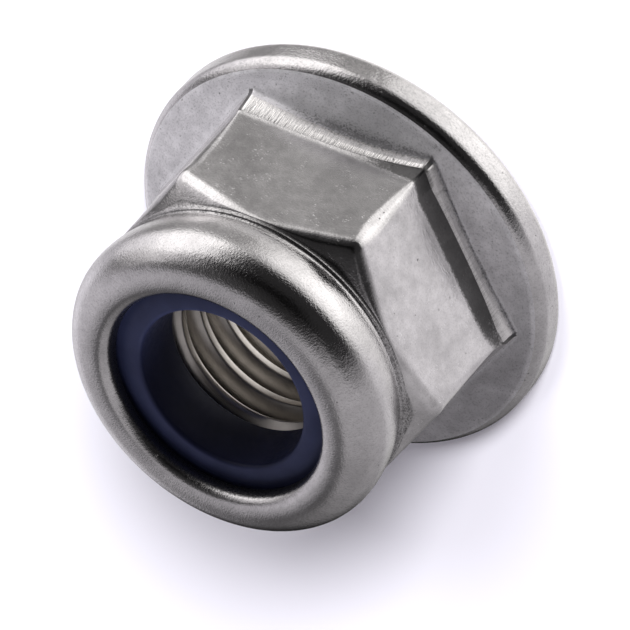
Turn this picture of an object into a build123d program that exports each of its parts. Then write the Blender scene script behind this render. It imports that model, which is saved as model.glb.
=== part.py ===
from build123d import *
import os
from math import cos, pi, radians, tan

# M8 hexagon nut with a serrated flange and a nylon locking ring, in millimetres.
# +Z runs along the thread from the bearing face to the collar. The origin is the centre of the
# bearing face, on the plane of the serration crests.

# Thread: the bore has the minor diameter of an M8 coarse internal thread
thread_diameter = 8.0
thread_pitch = 1.25
entry_clearance = 0.25  # the countersink's mouth is wider than the thread by this much each side
entry_angle = 90  # included angle of the countersink
exit_chamfer = 0.45  # countersink that ends the thread under the locking ring

# Flange: a rounded rim around a shallow cone that rises towards the hexagon
flange_diameter = 17.33
relief_width = 0.765  # the underside rises to the rim over this width
relief_angle = 15
rim_bottom_radius = 0.4
rim_top_radius = 0.6
flange_thickness = 1.9  # height of the cone at the corners of the hexagon's foot
flange_slope = 12

# Serrations: ratchet teeth pressed into the bearing face, which bite when the nut is undone
tooth_count = 30
tooth_depth = 0.25
tooth_runout_depth = 0.1  # depth left where the gaps run out under the rim
tooth_crest = 0.3  # width of the flat land on each tooth
tooth_undercut = 0.05  # lean of the steep face, as a share of the gap
recess_diameter = 10.6  # the teeth end inwards at a shallow recess
recess_depth = 0.32

# Hexagon: flats that flare out at the foot into a shaved band above the flange
across_flats = 12.87
corner_radius = 0.3
foot_step = 0.1  # how far the shaved band stands out from the flat
foot_height = 2.62  # top of the shaved band
flare_height = 0.55
chamfer_angle = 33
edge_rounding = 0.2
blank_margin = 0.5  # the blank that the hexagon is cut from is wider by this much

# Locking ring: nylon, trapped between its seat and the underside of the lip
ring_bite = 0.58  # the bolt's thread cuts this deep into the ring
ring_outer_diameter = 10.7
ring_thickness = 2.34
ring_corner_radius = 0.5
ring_edge_chamfer = 0.06
ring_clearance = 0.02  # the ring's outer wall stays clear of the collar by this much

# Collar: a wall crimped inwards over the locking ring, above a plain base and a groove
overall_height = 11.0
collar_height = 3.15  # from the hexagon's chamfer, at the middle of a flat, to the top
collar_overhang = 0.12  # how far the wall stands out past the flats
base_inset = 0.035  # how far the plain base stays behind the flats
base_height = 0.18
groove_depth = 0.09
groove_width = 0.15
lip_overlap = 0.91  # how far the lip reaches in over the ring
lip_nose_radius = 0.66
lip_edge = 0.05  # upright edge left under the lip's rounded nose

# Sizes that follow from the ones above
minor_radius = (thread_diameter - 1.0825 * thread_pitch) / 2
entry_radius = thread_diameter / 2 + entry_clearance
entry_top = recess_depth + (entry_radius - minor_radius) / tan(radians(entry_angle / 2))
flange_radius = flange_diameter / 2
bearing_radius = flange_radius - relief_width
relief_height = relief_width * tan(radians(relief_angle))
recess_radius = recess_diameter / 2
recess_floor_radius = recess_radius - recess_depth
flat_distance = across_flats / 2
foot_distance = flat_distance + foot_step
foot_corner = foot_distance / cos(radians(30))
flare_top_height = foot_height + flare_height
blank_radius = foot_corner + blank_margin
chamfer_height = overall_height - collar_height
ring_radius = ring_outer_diameter / 2
ring_bore_radius = thread_diameter / 2 - ring_bite
ring_top_height = overall_height - lip_nose_radius - lip_edge
ring_seat_height = ring_top_height - ring_thickness
base_radius = flat_distance - base_inset
groove_radius = base_radius - groove_depth
collar_radius = flat_distance + collar_overhang
lip_radius = ring_radius - lip_overlap
crest_radius = lip_radius + lip_nose_radius
curl_radius = collar_radius - crest_radius


def flange_top(radius):
    """Height of the flange's conical top at a distance from the axis."""
    return flange_thickness + (foot_corner - radius) * tan(radians(flange_slope))


def chamfer_top(radius):
    """Height of the hexagon's chamfer cone at a distance from the axis."""
    return chamfer_height + (flat_distance - radius) * tan(radians(chamfer_angle))


with BuildPart() as flat_cutter:
    # All that lies outside one side of the hexagon: its shaved band, flare and flat
    with BuildSketch(Plane.XZ):
        with BuildLine():
            band = Line((foot_distance, 0), (foot_distance, foot_height))
            flare = TangentArc((flat_distance, flare_top_height), band @ 1, tangent=(0, -1))
            Polyline(
                flare @ 0,
                (flat_distance, overall_height),
                (blank_radius + blank_margin, overall_height),
                (blank_radius + blank_margin, 0),
                band @ 0,
            )
        make_face()
    extrude(amount=blank_radius, both=True)

with BuildPart() as chamfer_cone:
    # The turned cone that takes off the corners at the top of the hexagon
    with BuildSketch(Plane.XZ):
        Polygon(
            (ring_radius, 0),
            (blank_radius, 0),
            (blank_radius, chamfer_top(blank_radius)),
            (ring_radius, chamfer_top(ring_radius)),
            align=None,
        )
    revolve(axis=Axis.Z)

with BuildPart() as tooth_gap:
    # The gap between two ratchet teeth: a steep face and a ramp, wider towards the rim
    gap_ends = (
        (recess_floor_radius, tooth_depth),
        (flange_radius, tooth_runout_depth),
    )
    for gap_radius, gap_depth in gap_ends:
        gap_width = 2 * pi * gap_radius / tooth_count - tooth_crest
        with BuildSketch(Plane.YZ.offset(gap_radius)):
            Polygon(
                (-gap_width / 2, -tooth_depth),
                (gap_width / 2, -tooth_depth),
                (gap_width / 2, 0),
                (-gap_width / 2 + gap_width * tooth_undercut, gap_depth),
                (-gap_width / 2, 0),
                align=None,
            )
    loft(ruled=True)

with BuildPart() as nut_body:
    # Hexagon: a round blank with six sides cut on it, its upright edges eased before the chamfer
    with BuildSketch(Plane.XY.offset(recess_depth)):
        Circle(blank_radius)
    extrude(amount=chamfer_top(ring_radius) - recess_depth)
    with PolarLocations(0, 6, start_angle=30):
        add(flat_cutter.part, mode=Mode.SUBTRACT)
    upright_edges = edges().filter_by(Axis.Z).filter_by(lambda e: e.center().Z > flare_top_height)
    fillet(upright_edges, radius=corner_radius)
    add(chamfer_cone.part, mode=Mode.INTERSECT)
    rounded_edges = edges().filter_by(lambda e: e.geom_type in (GeomType.HYPERBOLA, GeomType.BSPLINE))
    top_edges = rounded_edges.filter_by(lambda e: e.bounding_box().min.Z > flare_top_height)
    fillet(top_edges, radius=edge_rounding)

    # Flange, bore and collar, turned in one section
    with BuildSketch(Plane.XZ):
        with BuildLine():
            groove_bottom = chamfer_top(base_radius) + base_height
            groove_top = groove_bottom + groove_width
            curl_height = overall_height - curl_radius
            nose_height = overall_height - lip_nose_radius
            lower = Polyline(
                (minor_radius, ring_seat_height - exit_chamfer),
                (minor_radius, entry_top),
                (entry_radius, recess_depth),
                (recess_floor_radius, recess_depth),
                (recess_radius, 0),
                (bearing_radius, 0),
                (flange_radius, relief_height),
                (flange_radius, flange_top(flange_radius)),
                (base_radius, flange_top(base_radius)),
                (base_radius, groove_bottom),
                (groove_radius, groove_bottom),
                (groove_radius, groove_top),
            )
            barrel = TangentArc((collar_radius, curl_height), lower @ 1, tangent=(0, -1))
            curl = CenterArc((crest_radius, curl_height), curl_radius, 0, 90)
            nose = CenterArc((crest_radius, nose_height), lip_nose_radius, 90, 90)
            Polyline(
                nose @ 1,
                (lip_radius, ring_top_height),
                (ring_radius, ring_top_height),
                (ring_radius, ring_seat_height),
                (minor_radius + exit_chamfer, ring_seat_height),
                lower @ 0,
            )
        make_face()
        rim_bottom = vertices().sort_by_distance((flange_radius, relief_height))[0]
        fillet(rim_bottom, radius=rim_bottom_radius)
        rim_top = vertices().sort_by_distance((flange_radius, flange_top(flange_radius)))[0]
        fillet(rim_top, radius=rim_top_radius)
        pocket_corner = vertices().sort_by_distance((ring_radius, ring_top_height))[0]
        fillet(pocket_corner, radius=ring_corner_radius)
    revolve(axis=Axis.Z)

    # Serrations, with the land of one tooth on the X axis
    with PolarLocations(0, tooth_count, start_angle=180 / tooth_count):
        add(tooth_gap.part, mode=Mode.SUBTRACT)

with BuildPart() as locking_ring:
    with BuildSketch(Plane.XZ):
        with BuildLine():
            Polyline(
                (ring_bore_radius, ring_seat_height),
                (ring_radius - ring_clearance, ring_seat_height),
                (ring_radius - ring_clearance, ring_top_height),
                (ring_bore_radius, ring_top_height),
                close=True,
            )
        make_face()
        outer_corner = vertices().sort_by_distance((ring_radius, ring_top_height))[0]
        fillet(outer_corner, radius=ring_corner_radius)
        bore_corners = vertices().group_by(Axis.X)[0]
        chamfer(bore_corners, length=ring_edge_chamfer)
    revolve(axis=Axis.Z)

nut_body.part.label = "nut_body"
locking_ring.part.label = "locking_ring"

os.makedirs("parts", exist_ok=True)
export_step(nut_body.part, "parts/nut_body.step")
export_step(locking_ring.part, "parts/locking_ring.step")
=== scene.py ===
# %% [markdown]
# # A serrated flange nut with a locking ring
#
# The object is a steel nut, about 17 mm across, with a dark blue nylon ring trapped in its collar.
# The real one starts as a slug of stainless wire. Dies squeeze it into a flange, a hexagon and a
# thin collar, a tool shaves the foot of the hexagon, a tap cuts the thread, and a last press rolls
# the collar over the nylon. Each of those steps leaves its own kind of edge and shine, and this
# file makes them one after the other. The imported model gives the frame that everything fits.

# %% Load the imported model
from math import atan, atan2, ceil, cos, degrees, exp, pi, radians, sin, sqrt, tan

import bmesh
import bpy
from mathutils import Matrix, Vector


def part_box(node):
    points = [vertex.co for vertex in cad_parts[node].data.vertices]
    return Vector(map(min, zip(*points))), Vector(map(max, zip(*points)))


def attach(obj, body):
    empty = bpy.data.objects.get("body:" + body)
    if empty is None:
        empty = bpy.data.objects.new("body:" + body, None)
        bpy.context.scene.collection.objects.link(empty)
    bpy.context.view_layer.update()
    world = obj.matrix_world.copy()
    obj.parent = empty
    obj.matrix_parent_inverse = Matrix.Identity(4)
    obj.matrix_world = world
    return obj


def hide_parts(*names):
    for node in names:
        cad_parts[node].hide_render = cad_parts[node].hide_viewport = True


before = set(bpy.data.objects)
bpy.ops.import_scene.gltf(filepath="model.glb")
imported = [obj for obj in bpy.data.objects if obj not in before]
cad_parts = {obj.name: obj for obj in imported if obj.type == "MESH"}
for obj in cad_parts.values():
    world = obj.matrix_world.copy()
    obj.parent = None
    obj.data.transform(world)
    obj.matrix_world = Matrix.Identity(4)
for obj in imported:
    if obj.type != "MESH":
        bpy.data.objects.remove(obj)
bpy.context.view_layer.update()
print("nodes", sorted(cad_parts))

# %% [markdown]
# Blender works in metres here, but a nut is drawn in millimetres. Scaling a finished object down
# would do, but then its patterns would scale with it. So sizes are named in millimetres, as on a
# drawing, and one factor turns them into metres when a point is placed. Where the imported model
# already holds a size, it is read from there, so the two can't drift apart.

# %% The unit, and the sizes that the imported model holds
MM = 0.001
_, body_high = (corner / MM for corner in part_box("nut_body"))
ring_low, ring_high = (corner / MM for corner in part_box("locking_ring"))
flange_radius = body_high.x
overall_height = body_high.z
ring_seat_height = ring_low.z
ring_top_height = ring_high.z
ring_radius = ring_high.x
print(f"flange {2 * flange_radius:.2f} mm across, nut {overall_height:.2f} mm tall")

# %% [markdown]
# The steel body is all one turned section, except for two things: the hexagon, whose distance from
# the axis changes with direction, and the ratchet teeth underneath. Cutting a hexagon out of a
# turned blank is the workshop's way, but in a mesh such cuts leave long thin faces that shade badly.
# So the body is made by spinning one closed section about the axis, and afterwards each of its
# points is set to the section that belongs to its own direction. A few formulas give points of a
# section, each as its distance from the axis and its height.


# %% Points along a section
def steps(first, last, count):
    """Evenly spaced values from first to last, both included."""
    return [first + (last - first) * i / (count - 1) for i in range(count)]


def arc(centre_r, centre_z, radius, first, last, count):
    """Points of an arc in the section, with angles in degrees from the outward direction."""
    turns = [radians(a) for a in steps(first, last, count)]
    return [(centre_r + radius * cos(a), centre_z + radius * sin(a)) for a in turns]


def between(start, end, share):
    """The point a share of the way from start to end."""
    return tuple(a + (b - a) * share for a, b in zip(start, end))


def bend(start, corner, end, count):
    """A soft corner: the points of a curve that leaves start and reaches end along the corner's sides."""
    points = []
    for t in steps(0, 1, count):
        points.append(between(between(start, corner, t), between(corner, end, t), t))
    return points


print("the middle of a soft corner:", bend((1, 0), (1, 1), (0, 1), 3)[1])

# %% [markdown]
# Two cones tie the section together. The flange's top is a shallow one that rises towards the
# hexagon, so that the die can let go of it, and a turned one takes off the hexagon's upper corners,
# so that they don't cut a hand. Other parts start and end on these cones, so a formula gives
# the height of each at any distance from the axis, which is safer than working out single points.

# %% The flange's cone and the chamfer's cone
flat_distance = 6.435  # from the axis to a flat of the hexagon
foot_step = 0.1  # the shaved band at the hexagon's foot stands out by about this much
foot_corner = (flat_distance + foot_step) / cos(pi / 6)
flange_thickness = 1.9  # height of the flange at the foot's corners
flange_slope = radians(12)
collar_height = 3.15  # from the chamfer, at the middle of a flat, to the top
chamfer_height = overall_height - collar_height
chamfer_angle = radians(33)


def flange_top(r):
    """Height of the flange's shallow cone."""
    return flange_thickness + (foot_corner - r) * tan(flange_slope)


def chamfer_top(r):
    """Height of the turned cone that takes off the hexagon's upper corners."""
    return chamfer_height + (flat_distance - r) * tan(chamfer_angle)


print(f"flange {flange_top(flange_radius):.2f} mm high at its rim, chamfer at {chamfer_height:.2f} mm")

# %% [markdown]
# The section starts inside. The bore is drilled and countersunk, and above it a wider pocket holds
# the nylon. The thread could be pressed into this wall with a displacement, but its edges would come
# out rough. It is made later as a ridge of its own, so the wall is plain here and as wide as the
# thread's outer diameter.

# %% Bore and pocket
major_radius = 4.0  # the thread reaches out to here
entry_radius = 4.25  # mouth of the countersink at the bottom
recess_depth = 0.32  # the underside is hollowed this much round the bore
pocket_radius = 5.35
pocket_round = 0.5  # the pocket's upper corner, where the collar bends over the ring
lip_radius = 4.44  # inner edge of the lip that holds the ring in
entry_end = recess_depth + entry_radius - major_radius
bore_rows = [(major_radius, z) for z in (entry_end, 2.5, 5.0, ring_seat_height)]
pocket_rows = [
    (pocket_radius, ring_seat_height),
    *arc(pocket_radius - pocket_round, ring_top_height - pocket_round, pocket_round, 0, 90, 4),
    (lip_radius, ring_top_height),
]
print(f"pocket {ring_top_height - ring_seat_height:.2f} mm deep for the ring")

# %% [markdown]
# The collar is a thin wall that the press has rolled in over the ring. One bevel on a straight
# tube would give it a round edge, but the real one has three curves that meet smoothly: a nose at the
# lip, a wide curl, and a slightly bulged barrel that ends in a narrow groove. Each is drawn with its
# own radius, and the nose is squarer than a circle, as the press flattens it.

# %% The collar's nose and curl
lip_nose_radius = 0.66
nose_squareness = 2.7  # 2 would be a true quarter circle
collar_radius = 6.555
crest_radius = lip_radius + lip_nose_radius
curl_radius = collar_radius - crest_radius
curl_height = overall_height - curl_radius
nose_rows = []
for turn in steps(0, pi / 2, 13):
    inward = lip_nose_radius * cos(turn) ** (2 / nose_squareness)
    rise = lip_nose_radius * sin(turn) ** (2 / nose_squareness)
    nose_rows.append((crest_radius - inward, overall_height - lip_nose_radius + rise))
curl_rows = arc(crest_radius, curl_height, curl_radius, 90, 0, 18)[1:]
print(f"the curl's radius is {curl_radius:.2f} mm")

# %% The collar's barrel and groove
base_radius = 6.4  # a plain base under the groove, just behind the flats
base_height = 0.18
base_edge = 0.03  # easing of its upper edge
groove_radius = 6.31
groove_width = 0.15
groove_bottom = chamfer_top(base_radius) + base_height
groove_top = groove_bottom + groove_width
barrel_run = curl_height - groove_top
barrel_lean = collar_radius - groove_radius
barrel_radius = (barrel_run**2 + barrel_lean**2) / (2 * barrel_lean)
barrel_rows = []
for height in steps(curl_height, groove_top, 9)[1:]:
    bulge = sqrt(barrel_radius**2 - (curl_height - height) ** 2)
    barrel_rows.append((collar_radius - barrel_radius + bulge, height))
base_top = (base_radius - base_edge, groove_bottom)
base_side = (base_radius, groove_bottom - base_edge)
groove_rows = [
    *bend(barrel_rows.pop(), (groove_radius, groove_bottom), base_top, 5),
    *bend(base_top, (base_radius, groove_bottom), base_side, 4)[1:],
]
collar_rows = [*nose_rows, *curl_rows, *barrel_rows, *groove_rows]
print(len(collar_rows), "rows in the collar, whose barrel has a radius of", round(barrel_radius, 1), "mm")

# %% [markdown]
# The flange's rim is rounded above and below by the dies, with a short upright part between. A
# bevel modifier could round it, but it would round the serrations as well. Two arcs that touch the
# flange's cone, the upright part and the rising underside leave no doubt about where each one ends.

# %% The flange's rim
relief_width = 0.765  # the underside rises to the rim over this width
relief_angle = radians(15)
bearing_radius = flange_radius - relief_width
rim_top_radius = 0.6
rim_bottom_radius = 0.4
top_drop = rim_top_radius * (tan(flange_slope) - 1 / cos(flange_slope))
bottom_lift = rim_bottom_radius * (1 / cos(relief_angle) - tan(relief_angle))
rim_top_rows = arc(
    flange_radius - rim_top_radius,
    flange_top(flange_radius) + top_drop,
    rim_top_radius,
    90 - degrees(flange_slope),
    0,
    13,
)
rim_bottom_rows = arc(
    flange_radius - rim_bottom_radius,
    relief_width * tan(relief_angle) + bottom_lift,
    rim_bottom_radius,
    0,
    degrees(relief_angle) - 90,
    7,
)
upright_rows = [between(rim_top_rows[-1], rim_bottom_rows[0], share) for share in (0.35, 0.7)]
rim_rows = [*rim_top_rows, *upright_rows, *rim_bottom_rows]
print(len(rim_rows), "rows in the rim")

# %% [markdown]
# Nuts knock together in the tumbling barrel, so the hexagon's upright corners are worn round where
# they stand free, and stay sharper near the chamfer and at the foot, where a tool has cut them. A
# bevel has one width all along an edge. Here the distance from the axis to a hexagon with rounded
# corners is a formula, and its rounding may change with the height.

# %% The hexagon's worn corners
chamfer_corner = 0.5  # rounding of an upright corner just under the chamfer
worn_corner = 0.75  # half-way down the flat
wear_spread = 0.8  # below 1 the wear spreads further up and down the edge
flare_corner = 0.16  # at the top of the flare
foot_height = 2.62  # of the shaved band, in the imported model
flare_height = 0.55
soft_start = 0.05  # the flare begins this much higher, so softly that it is hard to see
flare_start = foot_height + flare_height + soft_start


def from_corner(azimuth):
    """Angle to the nearest corner of the hexagon. One corner lies on the X axis."""
    return abs((azimuth + pi / 6) % (pi / 3) - pi / 6)


def hexagon_radius(azimuth, apothem, rounding):
    """Distance from the axis to a hexagon with rounded corners."""
    off = from_corner(azimuth)
    centre = (apothem - rounding) / cos(pi / 6)
    tangent = pi / 6 - atan((apothem - rounding) * tan(pi / 6) / apothem)
    if off > tangent:
        return apothem / cos(pi / 6 - off)
    return centre * cos(off) + sqrt(rounding**2 - (centre * sin(off)) ** 2)


def corner_rounding(height):
    """Radius of the upright corner at a height."""
    share = min(max((height - flare_start) / (chamfer_height - flare_start), 0), 1)
    ends = flare_corner + (chamfer_corner - flare_corner) * share
    return ends + (worn_corner - (flare_corner + chamfer_corner) / 2) * sin(pi * share) ** wear_spread


print(f"a corner reaches {hexagon_radius(0, flat_distance, worn_corner):.2f} mm from the axis half-way down")

# %% [markdown]
# The shaving tool cut a band round the foot of the hexagon, and met the blank a little off centre, so
# the band stands out by a different amount on each side. Six equal sides would be quicker to
# model, and would look like a drawing. So each side has three steps of its own, at its first
# corner, its middle and its last corner, and a cleft marks each corner, where two cuts meet.

# %% The shaved hexagon
side_steps = (  # how far the band stands out at each side's first corner, middle and last corner
    (0.19, 0.022, 0.03),
    (0.03, 0.05, 0.09),
    (0.1, 0.1, 0.12),
    (0.12, 0.09, 0.06),
    (0.07, 0.1, 0.2),
    (0.13, 0.215, 0.17),
)
corner_reach = 0.17  # a corner's own step dies away over this share of the side
corner_loss = 0.01  # the band's corners are blunted by this much
corner_width = radians(0.5)
least_cosine = 0.1  # a side that lies far off the direction never counts as the nearest


def side_of(azimuth):
    """Number of the hexagon's side in a direction, from 0 to 5."""
    return int(azimuth // (pi / 3)) % 6


def side_step(side, azimuth):
    """How far the band stands out past one side's flat, in one direction."""
    first, middle, last = side_steps[side % 6]
    share = min(max(azimuth / (pi / 3) - side, 0), 1)
    step = middle + (first - middle) * exp(-share / corner_reach)
    return step + (last - middle) * exp((share - 1) / corner_reach)


def shaved_radius(azimuth, out):
    """Distance from the axis to the shaved hexagon: the nearest of three neighbouring sides."""
    distances = []
    for side in range(side_of(azimuth) - 1, side_of(azimuth) + 2):
        apothem = flat_distance + side_step(side, azimuth) + out
        distances.append(apothem / max(cos(azimuth - (side + 0.5) * pi / 3), least_cosine))
    return min(distances) - corner_loss * exp(-((from_corner(azimuth) / corner_width) ** 2))


def band_step(azimuth):
    """How far the band's top stands out past the flat, in one direction."""
    return shaved_radius(azimuth, 0) * cos(azimuth - (side_of(azimuth) + 0.5) * pi / 3) - flat_distance


print("steps at the middle of the sides:", [round(band_step((k + 0.5) * pi / 3), 3) for k in range(6)])

# %% [markdown]
# Above the band, each flat flares out to meet it, along a shallow curve that the tool's round edge
# left. The crease between flare and band isn't level: the further the band stands out, the lower
# the curve has to run before it reaches it. Modelled as a straight fillet it would be level, so its
# height is worked out from the step in each direction.

# %% Where the flare begins and where it meets the band
flare_radius = 1.56
least_step = 0.01
last_side_rise = 0.27  # the flare begins this much higher on the last side, where the band is widest
last_side_radius = 2.05
last_side_blend = radians(5)


def on_last_side(azimuth):
    """1 on the last side, falling to 0 towards its two corners."""
    inside = min(azimuth - 5 * pi / 3, 2 * pi - azimuth)
    return min(max(inside / last_side_blend, 0), 1)


def flare_begin(azimuth):
    """Height at which the flare begins."""
    return flare_start + last_side_rise * on_last_side(azimuth)


def flare_curve(azimuth):
    """Radius of the flare."""
    return flare_radius + (last_side_radius - flare_radius) * on_last_side(azimuth)


def crease_height(azimuth):
    """Height at which the flare meets the band."""
    return flare_begin(azimuth) - sqrt(2 * flare_curve(azimuth) * max(band_step(azimuth), least_step))


print("height of the crease on each side:", [round(crease_height((k + 0.5) * pi / 3), 2) for k in range(6)])

# %% Rows of the chamfer, the flat and the flare, for one direction
edge_wear = 0.42  # how far the chamfer's edge is worn to each side
most_wear = 0.8  # of the cone's length
sharp_corner = 0.06  # rounding of an upright corner at the crease


def flat_rows(azimuth):
    """From the collar's base down over the chamfer and its worn edge to the end of the flat."""
    corner = hexagon_radius(azimuth, flat_distance, chamfer_corner)
    base = (base_radius, chamfer_top(base_radius))
    edge = (corner, chamfer_top(corner))
    cone_length = (corner - base_radius) / cos(chamfer_angle)
    cone_end = between(edge, base, min(edge_wear / cone_length, most_wear))
    flat_start = (corner, edge[1] - edge_wear)
    rows = [base, between(base, cone_end, 0.3), between(base, cone_end, 0.65)]
    rows += bend(cone_end, edge, flat_start, 9)
    for height in steps(flat_start[1], flare_begin(azimuth), 9)[1:]:
        rows.append((hexagon_radius(azimuth, flat_distance, corner_rounding(height)), height))
    return rows


def flare_rows(azimuth):
    """From the end of the flat down the flare to the crease."""
    start, crease = flare_begin(azimuth), crease_height(azimuth)
    rows = []
    for share in steps(0, 1, 9)[1:]:
        height = start + (crease - start) * share
        out = (start - height) ** 2 / (2 * flare_curve(azimuth))
        rounding = flare_corner + (sharp_corner - flare_corner) * share
        rows.append((hexagon_radius(azimuth, flat_distance + out, rounding), height))
    return rows


print(len(flat_rows(0)), "rows down to the flare and", len(flare_rows(0)), "down to the crease")

# %% [markdown]
# The band itself leans out slightly, has a thin burr at its top, and ends at the foot in a small
# round where the tool's nose ran into the flange. The burr is a hundredth of a millimetre high and the
# cleft about a tenth deep. They could be left to a bump map, but they catch the light along an
# edge, which only real geometry does, so they are shifts of a few rows.

# %% Rows of the shaved band, for one direction
band_lean = radians(11)
band_burr = 0.01
burr_height = 0.02  # the burr lies this far under the crease
cleft_depth = 0.11  # of the cleft at each corner of the foot
cleft_width = radians(0.6)
round_most, round_least = 0.2, 0.08  # the round at the foot
round_loss = 0.6  # it shrinks by this share of the band's step


def foot_round(azimuth):
    """Size of the round at the foot, smaller where the band stands out further."""
    return max(round_least, round_most - round_loss * band_step(azimuth))


def band_rows(azimuth):
    """From the burr under the crease down to the round at the foot."""
    crease = crease_height(azimuth)
    bottom = flange_top(shaved_radius(azimuth, 0)) + foot_round(azimuth)
    cleft = cleft_depth * exp(-((from_corner(azimuth) / cleft_width) ** 2))
    rows = []
    for height in (crease - burr_height, (crease + bottom) / 2, bottom):
        out = (crease - height) * tan(band_lean)
        if not rows:
            out += band_burr
        nick = cleft * (crease - height) / (crease - bottom)
        rows.append((shaved_radius(azimuth, out) - nick, height))
    return rows


print("the band at a corner:", [(round(r, 2), round(z, 2)) for r, z in band_rows(0)])

# %% Rows of the foot and of the whole hexagon
foot_lead = 0.01


def foot_rows(azimuth):
    """Round the foot and out over the flange."""
    bottom = band_rows(azimuth)[-1]
    corner = bottom[0] + foot_lead
    outer = bottom[0] + foot_round(azimuth)
    rows = bend(bottom, (corner, flange_top(corner)), (outer, flange_top(outer)), 4)[1:]
    reach = rim_top_rows[0][0] - outer
    for share in (0.1, 0.3, 0.55, 0.8):
        rows.append((outer + reach * share, flange_top(outer + reach * share)))
    return rows


def hexagon_rows(azimuth):
    """All rows from the collar's base down to the flange's rim, in one direction."""
    azimuth %= 2 * pi
    return [*flat_rows(azimuth), *flare_rows(azimuth), *band_rows(azimuth), *foot_rows(azimuth)]


print(len(hexagon_rows(0)), "rows in the hexagon and on the flange")

# %% [markdown]
# Underneath, thirty ratchet teeth bite into the joint when the nut is undone. Each has a narrow land,
# one steep face and one long ramp. Thirty cutters with a boolean would make them, and would leave the
# rim's smooth rows in pieces. The mesh has 24 columns of points to a tooth instead, and
# their places are chosen so that the steep face falls between two columns and stays crisp.

# %% The serrated underside
COLUMNS = 720
TEETH = 30
per_tooth = COLUMNS // TEETH
tooth_depth = 0.25  # of a gap at its inner end
tooth_runout_depth = 0.1  # and where it runs out under the rim
tooth_crest = 0.3  # width of a tooth's land
tooth_undercut = 0.05  # how far the steep face leans, as a share of the gap
recess_radius = 5.3  # the teeth end inwards at a shallow recess
recess_floor_radius = recess_radius - recess_depth
land_columns = 3  # columns 0 to 2 lie on the land, and the last one on the next land


def tooth_column(column, r):
    """Azimuth and height of one column of the serrated face, at a distance from the axis."""
    tooth, k = divmod(column, per_tooth)
    tooth_pitch = 2 * pi / TEETH
    land = tooth_crest / 2 / r
    share = (r - recess_floor_radius) / (flange_radius - recess_floor_radius)
    depth = tooth_depth + (tooth_runout_depth - tooth_depth) * share
    if k < land_columns:
        return tooth * tooth_pitch + land * k / (land_columns - 1), 0
    if k == per_tooth - 1:
        return (tooth + 1) * tooth_pitch - land / 2, 0
    ramp_start = land + (tooth_pitch - 2 * land) * tooth_undercut
    down = (k - land_columns) / (per_tooth - land_columns - 2)
    return tooth * tooth_pitch + ramp_start + (tooth_pitch - land - ramp_start) * down, depth * (1 - down)


relief_start = 8.2  # the outermost row of the rising underside
recess_middle = 4.6
under_rows = [(r, (r - bearing_radius) * tan(relief_angle)) for r in steps(relief_start, bearing_radius, 4)]
under_rows += [(r, 0) for r in steps(bearing_radius, recess_radius, 9)[1:]]
under_rows += [(r, recess_radius - r) for r in steps(recess_radius, recess_floor_radius, 4)[1:]]
entry_rows = [(recess_middle, recess_depth), (entry_radius, recess_depth)]
print(TEETH, "teeth of", per_tooth, "columns each,", len(under_rows) + len(entry_rows), "rows underneath")

# %% [markdown]
# Body, thread and ring are all turned about the nut's axis. A Screw modifier could turn them, but the
# body's points have to be moved afterwards, so it needs a real mesh. A section is laid down as a
# chain of points, and spin turns it through one slice of the circle. Turned copies of that slice
# close the ring, which is much quicker than one spin with 720 steps. Every point remembers its row
# in the chain, because spin copies the layer that holds it. Copies meet exactly, so their doubled
# points are merged.

# %% A chain of points turned into a ring
merge_distance = 0.0005  # in millimetres, as every size here


def turned(name, points, columns, slices, copies=None, climb=0):
    """Spins a closed chain of section points through one slice and lines up copies of the slice."""
    mesh = bmesh.new()
    rows = mesh.verts.layers.int.new("row")
    verts = [mesh.verts.new((r * MM, 0, z * MM)) for r, z in points]
    for row, vert in enumerate(verts):
        vert[rows] = row
    for one, other in zip(verts, verts[1:] + verts[:1]):
        mesh.edges.new((one, other))
    bmesh.ops.spin(
        mesh,
        geom=mesh.verts[:] + mesh.edges[:],
        cent=(0, 0, 0),
        axis=(0, 0, 1),
        dvec=(0, 0, climb / columns * MM),
        angle=2 * pi / slices,
        steps=columns // slices,
        use_merge=False,
        use_normal_flip=False,
        use_duplicate=False,
    )
    first_slice = mesh.verts[:] + mesh.edges[:] + mesh.faces[:]
    for k in range(1, copies or slices):
        copy = bmesh.ops.duplicate(mesh, geom=first_slice)["geom"]
        copied = [part for part in copy if isinstance(part, bmesh.types.BMVert)]
        turn = Matrix.Rotation(k * 2 * pi / slices, 3, "Z")
        bmesh.ops.rotate(mesh, verts=copied, cent=(0, 0, 0), matrix=turn)
        bmesh.ops.translate(mesh, verts=copied, vec=(0, 0, k * climb / slices * MM))
    bmesh.ops.remove_doubles(mesh, verts=mesh.verts, dist=merge_distance * MM)
    print(name, "turned:", len(mesh.verts), "points,", len(mesh.faces), "faces")
    return mesh


# %% A mesh made into a piece of the nut
def finished(name, mesh, node=None):
    """Turns a bmesh into a smooth shaded object that rides on the part, in place of its CAD node."""
    bmesh.ops.recalc_face_normals(mesh, faces=mesh.faces)
    for face in mesh.faces:
        face.smooth = True
    data = bpy.data.meshes.new(name)
    mesh.to_mesh(data)
    mesh.free()
    piece = bpy.data.objects.new(name, data)
    bpy.context.scene.collection.objects.link(piece)
    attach(piece, "root")
    if node:
        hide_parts(node)
    print(name, "has", len(data.vertices), "points")
    return piece


# %% [markdown]
# Now the rows are put in one chain, and each point's place follows from its row and column. Columns
# crowd towards the hexagon's corners, where the form changes fast, and drift to the teeth's places
# under the rim. Sculpting could add the small knock that another nut has left in the rim, but
# as a formula it stays in one place, where a few rows and columns dip by two hundredths of a
# millimetre.

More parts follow.
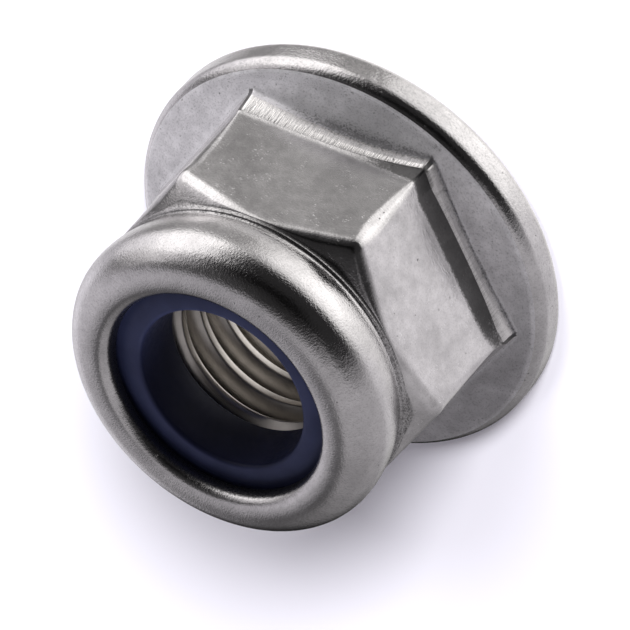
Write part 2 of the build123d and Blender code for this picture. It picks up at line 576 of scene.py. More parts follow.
# %% The chain of rows
chain = [*bore_rows, *pocket_rows, *collar_rows, *hexagon_rows(0), *rim_rows, *under_rows, *entry_rows]
first_nose_row = len(bore_rows) + len(pocket_rows)
first_hexagon_row = first_nose_row + len(collar_rows)
first_flare_row = first_hexagon_row + len(flat_rows(0))
first_rim_row = first_hexagon_row + len(hexagon_rows(0))
band_foot_row = first_rim_row - len(foot_rows(0)) - 1
band_top_row = band_foot_row - len(band_rows(0))
first_under_row = first_rim_row + len(rim_rows)
first_entry_row = first_under_row + len(under_rows)
print(len(chain), "rows and", COLUMNS, "columns")

# %% The place of each point
per_corner = COLUMNS // 6
corner_crowding = 0.5  # columns stand this much closer than even at the hexagon's corners
serration_top = 0.35  # below this height the rim's columns follow the teeth
even_top = 1.2  # and above this one they follow the hexagon
knock_azimuth = radians(23.5)
knock_width = radians(0.7)
knock_height = 1.1
knock_reach = 0.3
knock_depth = 0.02


def hexagon_column(column):
    """Azimuth of a column on the upper part of the nut, crowded towards the corners."""
    corner = round(column / per_corner)
    x = 2 * (column - corner * per_corner) / per_corner
    return corner * pi / 3 + pi / 6 * (corner_crowding * x + (1 - corner_crowding) * x**3)


def body_point(row, column, upper):
    """Where a point of the body goes: upper holds the hexagon's rows for its column."""
    r, z = chain[row]
    if first_hexagon_row <= row < first_rim_row:
        r, z = upper[row - first_hexagon_row]
    azimuth = hexagon_column(column)
    if row >= first_rim_row:
        tooth_azimuth, tooth_height = tooth_column(column, max(r, recess_floor_radius))
        share = min(max((even_top - z) / (even_top - serration_top), 0), 1)
        if row >= first_entry_row:
            share = 0.5
        elif r >= recess_floor_radius:
            z = max(z, tooth_height)
        azimuth += (tooth_azimuth - azimuth) * share
        if row < first_under_row:
            away = ((azimuth - knock_azimuth) / knock_width) ** 2 + ((z - knock_height) / knock_reach) ** 2
            r -= knock_depth * exp(-away)
    return Vector((r * cos(azimuth), r * sin(azimuth), z)) * MM


print("columns next to a corner are", round(degrees(hexagon_column(1)), 3), "degrees apart")

# %% [markdown]
# The steel's colour gets painted shade where the nut's own forms would darken it: under the lip, in the
# groove, in the flare, in the clefts, round the foot and near the rim, most in the flare of the last side
# and at the foot of the first. It could be painted on by hand. Here a layer on the mesh says for each
# point how much painted shade it holds, from 0 to 1, by its row and direction, and the steel's material
# reads that layer later. Each list of numbers runs from the upper row down.

# %% Painted shade in the inner corners
# painted shade, row by row: darkening of the steel's colour in the lip, groove, clefts, flares, foot and rim
nose_painted_shade = (1, 0.9, 0.8, 0.7, 0.5, 0.25)
groove_painted_shade = 0.45
cleft_painted_shade = 1
flare_painted_shade = (0.3, 0.6, 0.9, 1, 1, 1, 1, 1)
flare_fade = 28  # degrees over which it fades, from the corner on the X axis
last_flare_painted_shade = (0.3, 0.6, 0.85, 1, 1, 1, 0.95, 0.85)
last_flare_least = 0.5
first_foot_painted_shade = (0.55, 0.68, 0.62, 0.5, 0.36, 0.22, 0)
first_foot_least, first_foot_end = 0.3, 62
last_foot_painted_shade = (0.4, 0.5, 0.4, 0.25, 0.1, 0, 0)
other_foot_painted_shade = (0.1, 0.3, 0.3, 0.1, 0, 0, 0)
painted_shade_fade = 30  # degrees over which it fades along the first and the last side
rim_painted_shade, rim_painted_shade_end = 0.3, 70


def painted_shade_at(row, azimuth):
    """How much painted shade a point holds."""
    azimuth = degrees((azimuth + pi) % (2 * pi) - pi)
    first_side, last_side = 0 < azimuth < 60, -60 < azimuth <= 0
    if first_nose_row <= row < first_nose_row + len(nose_painted_shade):
        return nose_painted_shade[row - first_nose_row]
    if first_hexagon_row - len(groove_rows) < row <= first_hexagon_row + 1:
        return groove_painted_shade
    if band_top_row <= row < band_foot_row + 3 and from_corner(radians(azimuth)) < cleft_width:
        return cleft_painted_shade
    if first_flare_row <= row <= band_top_row:
        if last_side:
            paler = min(last_flare_least + (azimuth + 60) / painted_shade_fade, 1)
            return last_flare_painted_shade[row - first_flare_row] * paler
        return flare_painted_shade[row - first_flare_row] * max(0, 1 - abs(azimuth) / flare_fade)
    if band_foot_row <= row < first_rim_row - 1:
        if first_side:
            paler = min(max((first_foot_end - azimuth) / painted_shade_fade, first_foot_least), 1)
            return first_foot_painted_shade[row - band_foot_row] * paler
        return (last_foot_painted_shade if last_side else other_foot_painted_shade)[row - band_foot_row]
    if first_rim_row - 1 <= row < first_rim_row + 2 and 0 < azimuth < rim_painted_shade_end:
        return rim_painted_shade
    return 0


# the painted shade at the first corner's crease
print("dirt at the first corner's crease:", painted_shade_at(band_top_row, 0))

# %% [markdown]
# Now the body itself. On the real nut a round blank is driven into one die after another. A lattice
# could squeeze a round mesh in the same way, but it would soften every edge. So the chain is
# spun into a round blank, and then each point is moved straight to its own place: its column follows
# from its direction, and row and column together say where it belongs.

# %% Turn the body and set its points
body_mesh = turned("nut body", chain, COLUMNS, 6)
# each point gets its share of painted shade, in a layer that the steel's material reads
painted_shade_layer = body_mesh.verts.layers.float.new("painted_shade")
row_layer = body_mesh.verts.layers.int["row"]
upper_rows = [hexagon_rows(hexagon_column(column)) for column in range(COLUMNS)]
for vert in body_mesh.verts:
    column = round(atan2(vert.co.y, vert.co.x) / (2 * pi) * COLUMNS) % COLUMNS
    vert.co = body_point(vert[row_layer], column, upper_rows[column])
    vert[painted_shade_layer] = painted_shade_at(vert[row_layer], hexagon_column(column))
body_rows = [vert[row_layer] for vert in body_mesh.verts]
steel_body = finished("steel_body", body_mesh, "nut_body")

# %% [markdown]
# The thread is a ridge that climbs 1.25 mm in each turn. A screw modifier could make it, but its
# ends would stick out. Its section is a narrow crest with two flanks at 30 degrees, and its back
# is buried in the wall of the bore. Spin can climb as it turns, so one small closed section becomes
# the whole helix. The height of one crest in one direction fixes where it starts.

# %% The thread's section
minor_radius = 3.3234
pitch = 1.25
crest_half = pitch / 8
flank = tan(pi / 6)
ridge_root = 0.06  # how deep the ridge's back lies in the wall
crest_ease = 0.07  # the crest's edges are eased over this length
root_half = crest_half + (major_radius - minor_radius) * flank
ease_out = (minor_radius + crest_ease, crest_half + crest_ease * flank)
ease_in = (minor_radius, crest_half - crest_ease)
upper_half = [(major_radius + ridge_root, root_half), (major_radius, root_half)]
upper_half += bend(ease_out, (minor_radius, crest_half), ease_in, 5)
thread_section = [(r, -z) for r, z in upper_half] + upper_half[::-1]
print(f"a ridge {2 * root_half:.2f} mm wide at its foot and {2 * crest_half:.2f} mm at its crest")

# %% Turn the thread
thread_columns = 144
thread_slices = 12
thread_azimuth = radians(1.46)  # opposite this direction, a crest stands at the height below
known_crest = 7.482
turns_below = 6
first_crest = known_crest - turns_below * pitch
turn_count = (ring_seat_height + root_half - first_crest) / pitch
slice_count = ceil(turn_count * thread_slices)
thread_mesh = turned("thread", thread_section, thread_columns, thread_slices, slice_count, pitch)
start_turn = Matrix.Rotation(thread_azimuth + pi, 3, "Z")
bmesh.ops.rotate(thread_mesh, verts=thread_mesh.verts, cent=(0, 0, 0), matrix=start_turn)
bmesh.ops.translate(thread_mesh, verts=thread_mesh.verts, vec=(0, 0, first_crest * MM))
print(f"{turn_count:.1f} turns of thread")

# %% [markdown]
# A real thread dies away in the countersinks at its two ends, because the drill has cut it back to a
# cone. Cutting with a cone here would need a boolean. Pushing the ridge's points back onto the cone
# does the same and can't fail. The ends are then cut level, above and below, and closed.

# %% Trim the thread's ends
exit_chamfer = 0.45  # the countersink under the locking ring
buried = 0.01  # the ridge goes this deep into the entry's cone
entry_cut = 0.5  # height at which the ridge is cut off
cut_distance = 0.0001
for vert in thread_mesh.verts:
    z = vert.co.z / MM
    r = vert.co.xy.length / MM
    entry_cone = entry_radius - (z - recess_depth) + buried
    exit_cone = minor_radius + z - (ring_seat_height - exit_chamfer)
    vert.co.xy *= max(r, entry_cone, exit_cone) / r
for height, normal in ((entry_cut, (0, 0, -1)), (ring_seat_height, (0, 0, 1))):
    bmesh.ops.bisect_plane(
        thread_mesh,
        geom=thread_mesh.verts[:] + thread_mesh.edges[:] + thread_mesh.faces[:],
        dist=cut_distance * MM,
        plane_co=(0, 0, height * MM),
        plane_no=normal,
        clear_outer=True,
    )
    open_edges = [edge for edge in thread_mesh.edges if edge.is_boundary]
    bmesh.ops.holes_fill(thread_mesh, edges=open_edges, sides=0)
thread = finished("thread", thread_mesh)

# %% [markdown]
# The locking ring is a thick washer of nylon, moulded and then pressed in. A torus or a pipe would
# be too round for it. Its section is a plain block with a rounded shoulder, where the collar bends
# over it, a face that falls away a little under the lip, and eased edges at the bore, where the first
# bolt will cut its own thread. So it is one more turned section.

# %% Turn the locking ring
ring_columns = 288
ring_bore_radius = 3.42
bore_edge = 0.07  # easing of the bore's lower edge
bore_round = 0.2  # rounding of its upper edge
shoulder = 0.5
seat_middle = 4.0
wall_middle, wall_upper = 8.8, 9.6  # heights of rows on the plain walls
face_fall = ((4.5, 0.13), (4.35, 0.085), (4.2, 0.045), (4.0, 0.01), (3.8, 0))  # distance out and drop
lower_edge = [
    (ring_bore_radius, ring_seat_height + bore_edge),
    (ring_bore_radius, ring_seat_height),
    (ring_bore_radius + bore_edge, ring_seat_height),
]
upper_edge = [
    (ring_bore_radius + bore_round, ring_top_height),
    (ring_bore_radius, ring_top_height),
    (ring_bore_radius, ring_top_height - bore_round),
]
ring_section = [
    *bend(*lower_edge, 4),
    (seat_middle, ring_seat_height),
    (ring_radius, ring_seat_height),
    (ring_radius, wall_middle),
    *arc(ring_radius - shoulder, ring_top_height - shoulder, shoulder, 0, 90, 7),
    *((r, ring_top_height - fall) for r, fall in face_fall),
    *bend(*upper_edge, 9),
    (ring_bore_radius, wall_upper),
    (ring_bore_radius, wall_middle),
]
ring_mesh = turned("locking ring", ring_section, ring_columns, 6)
nylon_ring = finished("nylon_ring", ring_mesh, "locking_ring")

# %% [markdown]
# Materials come next. Each is a tree of nodes, and could be wired by hand in the shader editor. Wired
# by code it stays readable, and one recipe can be used again with other numbers. One small function
# adds a node, sets it up and links it. Colours are written as the hex codes that a colour picker
# shows, and a second function turns them into the linear values that the renderer needs.


# %% Colours and nodes
def linear(code):
    """An sRGB hex colour as linear red, green, blue and alpha."""
    channels = [int(code[i : i + 2], 16) / 255 for i in (1, 3, 5)]
    return (*(c / 12.92 if c <= 0.04045 else ((c + 0.055) / 1.055) ** 2.4 for c in channels), 1)


def add(tree, kind, inputs=(), give=0, **settings):
    """Adds a node with its settings, fills its inputs with values or links, and gives an output back.

    inputs are in the node's own order, or by name in a dictionary. give is the name or number of the
    output, or None for all of them.
    """
    node = tree.nodes.new("ShaderNode" + kind)
    for name, value in settings.items():
        setattr(node, name, value)
    for key, value in inputs.items() if isinstance(inputs, dict) else enumerate(inputs):
        if isinstance(value, bpy.types.NodeSocket):
            tree.links.new(value, node.inputs[key])
        else:
            node.inputs[key].default_value = value
    return node.outputs if give is None else node.outputs[give]


NOISE = (0.3, 0.7)  # nearly all of a noise lies between these two values
SOFT = {"interpolation_type": "SMOOTHSTEP"}  # a range is mapped softly at both ends
TIMES = {"operation": "MULTIPLY"}
TIMES_PLUS = {"operation": "MULTIPLY_ADD"}
print("middle grey is", round(linear("#808080")[0], 3), "in linear light")

# %% [markdown]
# Patterns on the steel read Object coordinates, the places of the mesh's own points, so they stay
# fixed to the metal. The rolling die has dragged the collar's grain round the axis, and the tap the
# bore's. An image wrapped round the nut could carry such a grain. Here each place is rewritten as
# lengths round, along and away from the axis and then squeezed, which draws out whatever reads it.

# %% Places, drawn out round the axis
turning_radius = 6  # at this distance from the axis a length round it keeps its true size


def drawn_round(tree, place, drag):
    """Places as lengths round, along and away from the axis, the last two divided by drag."""
    x, y, z = add(tree, "SeparateXYZ", (place,), give=None)
    angle = add(tree, "Math", (y, x), operation="ARCTAN2")
    around = add(tree, "Math", (angle, turning_radius * MM), **TIMES)
    level = add(tree, "CombineXYZ", (x, y))
    outward = add(tree, "VectorMath", (level,), give="Value", operation="LENGTH")
    along = add(tree, "Math", (z, drag), operation="DIVIDE")
    away = add(tree, "Math", (outward, drag), operation="DIVIDE")
    return add(tree, "CombineXYZ", (around, along, away))


print("grain is drawn out round the Z axis")

# %% [markdown]
# Steel comes cloudy out of the pickling bath, and the tumbling stones and their grit leave it
# speckled. Both are noise, the clouds wide and weak, the specks fine and darker. Real grit is
# about 0.02 mm, which is too fine to show here, so the specks are drawn more than three times as coarse.

# %% Clouds and specks
cloud_size = 1.6
small_cloud_size = 0.45
speck_size = 0.072
speck_range = (0.2, 0.55)  # the lower half of this noise is what darkens


def clouds_and_specks(tree, place, drag):
    """Three noises, each about 0.5 on average: clouds, small clouds and specks."""
    recipes = (
        (place, cloud_size, 0.5),
        (place, small_cloud_size, 0.6),
        (drawn_round(tree, place, drag), speck_size, 0.65),
    )
    noises = []
    for where, size, roughness in recipes:
        inputs = {"Vector": where, "Scale": 1 / (size * MM), "Detail": 3, "Roughness": roughness}
        noises.append(add(tree, "TexNoise", inputs))
    return noises


def cloudy_shades(tree, cloud, small_cloud, speck, stain, dirt):
    """What the clouds and specks multiply the steel's colour by."""
    ranges = (
        (cloud, *NOISE, 1 - stain, 1),
        (small_cloud, *NOISE, 1 - 0.4 * stain, 1 + 0.4 * stain),
        (speck, *speck_range, 1 - dirt, 1 + dirt / 5),
    )
    return [add(tree, "MapRange", values, **SOFT) for values in ranges]


print(f"specks {speck_size} mm wide in clouds {cloud_size} mm wide")

# %% [markdown]
# Here and there a bit of scale was pressed into the steel and fell out again, which leaves a dark
# pit. Single pits could be placed by hand. A net of cells is quicker: each cell has a random colour,
# a share of them is picked by it, and the picked ones get a pit in the middle. The places are
# shaken a little first, so that no pit is perfectly round.

# %% Pits
pit_spacing = 0.35
pit_core, pit_edge = 0.03, 0.14  # shares of the spacing
shake_size = 0.09
shake_reach = 0.12


def pit_pattern(tree, place, pits):
    """1 inside a pit and 0 elsewhere, where pits is the share of cells that have one."""
    inputs = {"Vector": place, "Scale": 1 / (shake_size * MM), "Detail": 2}
    shake = add(tree, "TexNoise", inputs, give="Color")
    shift = add(tree, "VectorMath", {0: shake, "Scale": shake_reach * MM}, operation="SCALE")
    shaken = add(tree, "VectorMath", (place, shift), operation="ADD")
    cells = add(tree, "TexVoronoi", {"Vector": shaken, "Scale": 1 / (pit_spacing * MM)}, give=None)
    chance = add(tree, "SeparateColor", (cells["Color"],))
    picked = add(tree, "Math", (chance, pits), operation="LESS_THAN")
    hole = add(tree, "MapRange", (cells["Distance"], pit_core, pit_edge, 1, 0), **SOFT)
    return add(tree, "Math", (hole, picked), **TIMES)


print(f"pits at most {2 * pit_edge * pit_spacing:.2f} mm wide")

# %% [markdown]
# The shaving tool leaves fine upright lines on the band, and handling leaves hairline scratches
# on the flats. Both are noise that is stretched a long way in one direction. Real scratches are a few
# thousandths of a millimetre wide, too fine to show, so they are drawn ten times as wide, in patches.

# %% Tool marks and scratches
mark_size = 0.1
mark_stretch = 0.04  # lines are 25 times as long as they are wide
mark_shade = (0.3, 0.5, 0.76, 1.03)  # from these two values of the noise to these two shades
scratch_size = 0.06
scratch_stretch = 0.03
scratch_range = (0.69, 0.76)  # only the peaks of the noise are scratches
scratch_lean = 0.4
patch_size = 0.7  # scratches come in patches of this size
patch_range = (0.52, 0.6)


def tool_marks(tree, place):
    """Noise that is drawn out along the axis."""
    stretched = add(tree, "Mapping", {"Vector": place, "Scale": (1, 1, mark_stretch)})
    inputs = {"Vector": stretched, "Scale": 1 / (mark_size * MM), "Detail": 3, "Roughness": 0.7}
    return add(tree, "TexNoise", inputs)


def hair_scratches(tree, place, turn):
    """1 on fine scratches in one direction, which is set by an angle, and 0 elsewhere."""
    layout = {"Vector": place, "Rotation": (scratch_lean, turn, turn), "Scale": (1, scratch_stretch, 1)}
    stretched = add(tree, "Mapping", layout)
    hair = add(tree, "TexNoise", {"Vector": stretched, "Scale": 1 / (scratch_size * MM), "Detail": 1})
    patch = add(tree, "TexNoise", {"Vector": place, "Scale": 1 / (patch_size * MM), "Detail": 2})
    hair = add(tree, "MapRange", (hair, *scratch_range), **SOFT)
    patch = add(tree, "MapRange", (patch, *patch_range), **SOFT)
    return add(tree, "Math", (hair, patch), **TIMES)


print(f"tool marks {mark_size} mm wide and {mark_size / mark_stretch:.1f} mm long")

# %% [markdown]
# The mesh's layer of painted shade says where the steel's colour is darkened, but its edge would be a
# smooth fade. So the layer is added to the specks and the small clouds, and only what comes out above a
# limit is darkened, which breaks the painted shade's edge up into grains that look like dirt.

# %% Painted shade with a grainy edge
speck_share, cloud_share = 1.05, 0.45  # how much each adds to the layer
painted_shade_start, painted_shade_full = 0.95, 1.45
thin_layer = 0.2  # below this the layer gives less and less painted shade


def grainy_painted_shade(tree, small_cloud, speck):
    """1 where the painted shade is darkest and 0 where the steel is left as it is."""
    layer = add(tree, "Attribute", give="Fac", attribute_name="painted_shade")
    patches = add(tree, "Math", (small_cloud, cloud_share), **TIMES)
    patches = add(tree, "Math", (speck, speck_share, patches), **TIMES_PLUS)
    height = add(tree, "Math", (layer, patches), operation="ADD")
    dirt = add(tree, "MapRange", (height, painted_shade_start, painted_shade_full), **SOFT)
    allowed = add(tree, "MapRange", (layer, 0, thin_layer), **SOFT)
    return add(tree, "Math", (dirt, allowed), **TIMES)


# the painted shade starts where layer and specks add up to this
print("dirt starts where layer and specks add up to", painted_shade_start)

# %% [markdown]
# The steel is austenitic stainless, cold formed and then tumbled. All of it is one alloy, but each
# zone met a different tool, and the eye reads that. Five hand-made materials would drift apart, so
# one recipe with different numbers makes all of them. It multiplies what darkens the colour, painted
# shade among it, adds up what lifts or sinks the surface, in thousandths of a millimetre, and roughens
# specks and the painted shade.

# %% Patterns put together
MICROMETRE = 0.001 * MM


def stacked(tree, relief):
    """A bump that adds up patterns, each with its height in micrometres, or its depth if negative."""
    height = 0
    for pattern, rise in relief:
        height = add(tree, "Math", (pattern, rise, height), **TIMES_PLUS)
    return add(tree, "Bump", {"Distance": MICROMETRE, "Height": height})


def shaded(tree, tone, shades):
    """A colour that is multiplied by every shade in a list."""
    shade = shades[0]
    for other in shades[1:]:
        shade = add(tree, "Math", (shade, other), **TIMES)
    return add(tree, "VectorMath", {0: linear(tone)[:3], "Scale": shade}, operation="SCALE")


print(f"one unit of height is {MICROMETRE / MM} mm")

# %% The recipe for steel
dent_size = 0.35
pit_depth, scratch_depth = -8, -2
pit_shade, painted_shade_darkening = -0.6, -0.78
speck_rough, painted_shade_rough = 0.08, 0.2  # how much rougher specks and the painted shade are
rough_range = (0.3, 0.6)
scratch_turns = (0.5, 1.9, 2.6)  # three directions, as angles


def steel_finish(
    name, tone, roughness, dents, grit, pits, stain=0.12, marks=0, drag=1, dirt=0.16, film=0, scratches=0
):
    """Stainless steel.

    tone is its colour, roughness its polish, dents and grit the depth in micrometres of the tumbling
    dents and of the fine grain, pits the share of dark pits, stain how cloudy and dirt how specked it
    is, marks the depth in micrometres of upright tool marks, drag how much the grain is drawn out,
    film how much of it is a dull film instead of bare metal, and scratches how bright they are.
    """
    material = bpy.data.materials.new(name)
    material.use_nodes = True
    tree = material.node_tree
    tree.nodes.clear()
    place = add(tree, "TexCoord", give="Object")
    cloud, small_cloud, speck = clouds_and_specks(tree, place, drag)
    hole = pit_pattern(tree, place, pits)
    painted_shade_mask = grainy_painted_shade(tree, small_cloud, speck)
    dent_inputs = {"Vector": place, "Scale": 1 / (dent_size * MM), "Detail": 2, "Roughness": 0.6}
    dent = add(tree, "TexNoise", dent_inputs)

    relief = [(dent, dents), (speck, grit), (hole, pit_depth)]
    shades = cloudy_shades(tree, cloud, small_cloud, speck, stain, dirt)
    shades.append(add(tree, "Math", (hole, pit_shade, 1), **TIMES_PLUS))
    if marks:
        lines = tool_marks(tree, place)
        relief.append((lines, marks))
        shades.append(add(tree, "MapRange", (lines, *mark_shade), **SOFT))
    # painted shade: the mesh's layer darkens the colour in the recesses and creases
    shades.append(add(tree, "Math", (painted_shade_mask, painted_shade_darkening, 1), **TIMES_PLUS))
    for turn in scratch_turns if scratches else ():
        hair = hair_scratches(tree, place, turn)
        relief.append((hair, scratch_depth))
        shades.append(add(tree, "Math", (hair, scratches, 1), **TIMES_PLUS))

    rough = add(tree, "MapRange", (speck, *rough_range, 1, 0), **SOFT)
    rough = add(tree, "Math", (rough, speck_rough, roughness), **TIMES_PLUS)
    rough = add(tree, "Math", (painted_shade_mask, painted_shade_rough, rough), **TIMES_PLUS)
    look = {
        "Base Color": shaded(tree, tone, shades),
        "Metallic": 1 - film,
        "Roughness": rough,
        "Normal": stacked(tree, relief),
    }
    add(tree, "OutputMaterial", {"Surface": add(tree, "BsdfPrincipled", look)}, give=None)
    print(name, "has", len(tree.nodes), "nodes")
    return material


# %% [markdown]
# The collar was burnished by the rolling die, so it is the smoothest. The flats were squeezed by a
# forging die and are satin, the band was shaved, the flange took the grain of the punch and a dull
# film from the tumbling barrel, and the bore was cut by a tap, whose grain runs round it. The rim was
# burnished like the collar. Each face knows the rows of its corners, so its zone is found from those.

# %% Five finishes of the steel
finishes = {
    "burnished_collar": steel_finish(
        "rolled_stainless_steel", "#dbd9d9", 0.07, dents=6, grit=12, pits=0.25, drag=1.25, dirt=0.2
    ),
    "forged_hexagon": steel_finish(
        "forged_stainless_steel", "#e1dfdf", 0.12, dents=4, grit=5, pits=0.12, stain=0.2, scratches=0.6
    ),
    "shaved_band": steel_finish(
        "shaved_stainless_steel", "#f4f2f1", 0.2, dents=0, grit=0.5, pits=0.1, marks=9, dirt=0.08
    ),
    "pressed_flange": steel_finish(
        "tumbled_stainless_steel", "#e9e7ea", 0.3, dents=6, grit=7, pits=0.4, stain=0.2, dirt=0.34, film=0.3
    ),
    "tapped_bore": steel_finish(
        "tapped_stainless_steel", "#d2cdc7", 0.33, dents=0.2, grit=0.05, pits=0, drag=4, dirt=0
    ),
}
print(len(finishes), "finishes")

# %% Give each zone its finish
first_base_row = first_hexagon_row - len(groove_rows) + 3
burnished_rim_row = first_rim_row + 3
zone_names = list(finishes)


def zone_of(rows):
    """The zone of a face whose corners lie on these rows."""
    first, last = min(rows), max(rows)
    closing = last - first > 2  # these faces join the chain's last row to its first
    if closing or last < len(bore_rows):
        return "tapped_bore"
    if last <= first_base_row or burnished_rim_row <= first < first_under_row:
        return "burnished_collar"
    if last <= band_top_row:
        return "forged_hexagon"
    return "shaved_band" if last <= band_foot_row else "pressed_flange"


for material in finishes.values():
    steel_body.data.materials.append(material)
thread.data.materials.append(finishes["tapped_bore"])
for face in steel_body.data.polygons:
    face.material_index = zone_names.index(zone_of([body_rows[corner] for corner in face.vertices]))
print(len(steel_body.data.polygons), "faces in", len(zone_names), "zones")

# %% [markdown]
# The ring is nylon, moulded, and dyed dark blue all through. Moulded nylon is a little waxy: it
# reflects less than most plastics and spreads what it reflects. Subsurface light could give the wax, but
# in a blue as deep as this little of it would show. Two noises do more: a shallow wave from
# shrinking in the mould, which also varies the blue, and fine dust that makes the shine uneven.

# %% Navy nylon
dust_size = 0.15
wave_size = 1.2
dust_height, wave_height = 3, 10  # in micrometres
shiny, dull = 0.34, 0.46
nylon = bpy.data.materials.new("navy_nylon")
nylon.use_nodes = True
tree = nylon.node_tree
tree.nodes.clear()
place = add(tree, "TexCoord", give="Object")
dust = add(tree, "TexNoise", {"Vector": place, "Scale": 1 / (dust_size * MM), "Detail": 2})
wave = add(tree, "TexNoise", {"Vector": place, "Scale": 1 / (wave_size * MM), "Detail": 2})
share = add(tree, "MapRange", (wave, *NOISE), **SOFT)
blues = {0: share, 6: linear("#262a44"), 7: linear("#2c304c")}
look = {
    "Base Color": add(tree, "Mix", blues, give=2, data_type="RGBA"),
    "Roughness": add(tree, "MapRange", (dust, *NOISE, shiny, dull), **SOFT),
    "IOR": 1.53,
    "Specular IOR Level": 0.14,
    "Normal": stacked(tree, [(wave, wave_height), (dust, dust_height)]),
}
add(tree, "OutputMaterial", {"Surface": add(tree, "BsdfPrincipled", look)}, give=None)
nylon_ring.data.materials.append(nylon)
print(nylon.name, "has", len(tree.nodes), "nodes")

# %% [markdown]
# The camera stands 0.2 m away with a very long lens, as is usual for small parts, so near and far
# edges keep almost the same size. It is also rolled, which makes the nut seem to lie on its side. A
# Track To constraint would aim it but has no roll. So three axes are worked out, the direction
# towards the camera, its right and its up, and they are the columns of its matrix.

# %% Camera
view_azimuth, view_elevation, view_roll = 1.744, 41.341, -138.356  # in degrees
view_distance = 205.61
aim = Vector((0.023, -0.765, 4.529))
lens, film_width = 316.9, 36
nearest = 0.01  # in metres, nothing nearer than this is drawn


def pointing(azimuth, elevation):
    """The direction of an azimuth and an elevation, both in degrees."""
    a, e = radians(azimuth), radians(elevation)
    return Vector((cos(a) * cos(e), sin(a) * cos(e), sin(e)))


toward = pointing(view_azimuth, view_elevation)
level_right = Vector((0, 0, 1)).cross(toward).normalized()
roll = radians(view_roll)
right = level_right * cos(roll) + toward.cross(level_right) * sin(roll)
axes = Matrix((right, toward.cross(right), toward)).transposed().to_4x4()
camera_data = bpy.data.cameras.new("camera")
camera_data.lens = lens
camera_data.sensor_width = film_width
camera_data.clip_start = nearest
camera = bpy.data.objects.new("camera", camera_data)
bpy.context.scene.collection.objects.link(camera)
camera.matrix_world = Matrix.Translation((aim + toward * view_distance) * MM) @ axes
bpy.context.scene.camera = camera
print(f"camera {view_distance:.0f} mm from its aim, looking from {view_elevation:.0f} degrees up")

# %% [markdown]
# The nut stands on a plain white table. One large square is enough for it, as it isn't part of the
# object. A cove that curves up behind would only be needed for a lower camera. The steel doesn't mirror
# this square: the studio around it, made next, already holds the table's reflection, and holding it
# twice would wash out the dark parts.

# %% Table
table_half = 2.0  # in metres, far wider than the view
floor_mesh = bmesh.new()
bmesh.ops.create_grid(floor_mesh, x_segments=1, y_segments=1, size=table_half)
floor_data = bpy.data.meshes.new("floor")
floor_mesh.to_mesh(floor_data)
floor_mesh.free()
floor = bpy.data.objects.new("floor", floor_data)
bpy.context.scene.collection.objects.link(floor)
white = bpy.data.materials.new("white_table")
white.use_nodes = True
white.node_tree.nodes["Principled BSDF"].inputs["Base Color"].default_value = linear("#eeecf6")
floor.data.materials.append(white)
floor.visible_glossy = False
floor.visible_shadow = False
print(f"table {2 * table_half:.0f} m wide")

# %% [markdown]
# Polished steel has almost no colour of its own: what we see in it is the room. So a studio has
# bright cards and dark ones for it to mirror. They could be glowing planes, but each would need its
# place in the scene and would show in other views. Here they are painted on the world instead. Each
# is a soft-edged rectangle in some direction, given by azimuth and elevation. Bright cards add light
# to a faint glow, and dark ones take a share of everything away.

# %% Cards of the studio
base_glow = (0.10, 0.097, 0.10)
bright_cards = [
    # azimuth, elevation, half width, half height and softness of the edge in degrees, then brightness
    ("window", 76, -9.5, 22, 33, 4, (0.43, 0.425, 0.42)),
    ("window haze", 91, 2.5, 30, 38, 4, (0.35, 0.34, 0.345)),
    ("window corner", 57, -28, 10, 25, 3, (0.25, 0.245, 0.24)),
    ("window top", 88, 56, 15, 15, 4, (0.15, 0.147, 0.15)),
    ("front table", 357.5, -38.5, 34, 18, 6, (0.39, 0.385, 0.38)),
    ("front table centre", 350, -39.5, 11, 25, 10, (0.22, 0.217, 0.215)),
    ("back table", 156, -36, 24, 6, 6, (0.16, 0.155, 0.163)),
    ("back shelf", 147, -13, 48, 16, 4, (0.18, 0.175, 0.187)),
    ("back wall", 165, 12, 31, 68, 8, (0.154, 0.149, 0.16)),
    ("back wall glow", 149, 12.5, 18, 34, 3, (0.10, 0.096, 0.104)),
    ("right table", 303, -40, 2, 17, 20, (0.37, 0.36, 0.37)),
    ("far right table", 265, -45, 39, 2, 11, (0.185, 0.18, 0.19)),
    ("under the nut", 0, -90, 32, 41, 19, (0.56, 0.55, 0.54)),
    ("right wall", 265, 14, 41, 70, 21, (0.22, 0.213, 0.222)),
]
dark_cards = [
    # the same, but the last number is the share of light that the card takes away
    ("camera", 359, 16, 46, 32, 5, 0.84),
    ("dark ceiling", 33, 57, 36, 30, 6, 0.84),
    ("back strip", 193, -5, 9, 43, 8, 0.7),
    ("back strip top", 200, 52, 10, 20, 6, 0.6),
    ("right wall shade", 243, 16, 24, 41, 41, 0.485),
    ("under the window", 59, -44, 9, 13, 3, 0.64),
    ("contact shadow", 196, -20, 12, 15, 3, 0.8),
    ("window frame", 122, 20, 3.5, 22, 2, 0.7),
    ("window frame corner", 111, 49, 10, 4, 2, 0.65),
    ("window frame top", 98, 57, 7, 4, 2, 0.5),
]
print(len(bright_cards), "bright cards and", len(dark_cards), "dark ones")

# %% [markdown]
# A card is 1 inside its rectangle and 0 outside. Two angles place each direction of the room on it,
# one across and one along, much like longitude and latitude with the card at their origin. A flat
# picture of the room would do the same, but it would be an image file, and this needs none.

# %% The studio
world = bpy.data.worlds.new("studio")
world.use_nodes = True
tree = world.node_tree
tree.nodes.clear()
direction = add(tree, "TexCoord", give="Generated")


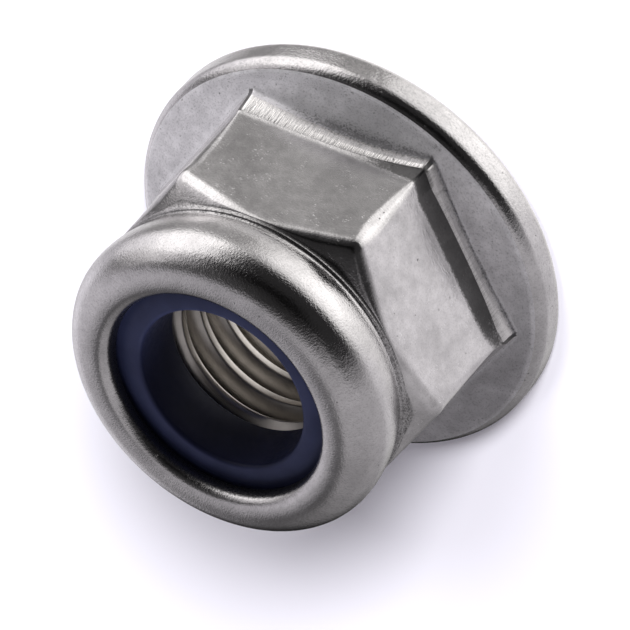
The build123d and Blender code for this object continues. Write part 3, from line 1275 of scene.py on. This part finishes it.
def card(azimuth, elevation, width, height, edge):
    """1 on a rectangular card that stands in a direction of the studio, falling softly to 0 at its edge."""
    forward = pointing(azimuth, elevation)
    side = pointing(azimuth + 90, 0)
    ahead, aside, above = (
        add(tree, "VectorMath", (direction, axis), give="Value", operation="DOT_PRODUCT")
        for axis in (forward, side, forward.cross(side))
    )
    across = add(tree, "Math", (aside, ahead), operation="ARCTAN2")
    along = add(tree, "Math", (above,), operation="ARCSINE")
    covers = []
    for angle, half in ((across, width), (along, height)):
        angle = add(tree, "Math", (angle,), operation="ABSOLUTE")
        limits = (angle, radians(half - edge), radians(half + edge), 1, 0)
        covers.append(add(tree, "MapRange", limits, **SOFT))
    return add(tree, "Math", covers, **TIMES)


light = add(tree, "CombineXYZ", base_glow)
for name, *shape, brightness in bright_cards:
    glow = add(tree, "VectorMath", {0: brightness, "Scale": card(*shape)}, operation="SCALE")
    light = add(tree, "VectorMath", (light, glow), operation="ADD")
for name, *shape, darkness in dark_cards:
    kept = add(tree, "Math", (card(*shape), -darkness, 1), **TIMES_PLUS)
    light = add(tree, "VectorMath", {0: light, "Scale": kept}, operation="SCALE")
print("studio of", len(tree.nodes), "nodes")

# %% [markdown]
# The cards' numbers say how bright the steel should look, and steel gives back only some 60 % of
# what falls on it, so the studio is made that much brighter. Beyond the table the background is plain
# white. A white wall would light the steel too, so only what the camera sees directly is white.

# %% World and background
steel_reflects = 0.6
studio = add(tree, "Background", {"Color": light, "Strength": 1 / steel_reflects})
plain = add(tree, "Background", {"Color": (1, 1, 1, 1), "Strength": 1})
seen = add(tree, "LightPath", give="Is Camera Ray")
add(tree, "OutputWorld", {"Surface": add(tree, "MixShader", (seen, studio, plain))}, give=None)
bpy.context.scene.world = world
bpy.context.scene.view_settings.view_transform = "Standard"
print(f"cards shine {1 / steel_reflects:.2f} times as bright as listed")

# %% [markdown]
# The cards alone give the steel its look, but they leave the table, the film on the flange and the
# nylon too flat. One lamp for all of them would also flood the steel. So each soft sun
# shines on one thing only, which is called light linking, and none of them is mirrored. Two suns from
# two sides light the table, and their wide discs give the shadow its soft edge.

# %% Soft suns
suns = [
    # azimuth and elevation in degrees, energy, width of the disc in degrees, and what it shines on
    ("table_light", 11, 32.5, 4.6, 16, floor),
    ("ring_light", 216, 22, 4.2, 60, nylon_ring),
    ("flange_light", 80, 32, 3.0, 60, steel_body),
    ("side_light", 42, 41, 1.7, 22, floor),
]
for name, azimuth, elevation, energy, width, receiver in suns:
    sun_data = bpy.data.lights.new(name, "SUN")
    sun_data.energy = energy
    sun_data.angle = radians(width)
    sun = bpy.data.objects.new(name, sun_data)
    bpy.context.scene.collection.objects.link(sun)
    sun.rotation_euler = pointing(azimuth, elevation).to_track_quat("Z", "Y").to_euler()
    sun.visible_glossy = False
    lit_only = bpy.data.collections.new(name + "_shines_on")
    lit_only.objects.link(receiver)
    sun.light_linking.receiver_collection = lit_only
    print(name, "shines on", receiver.name)
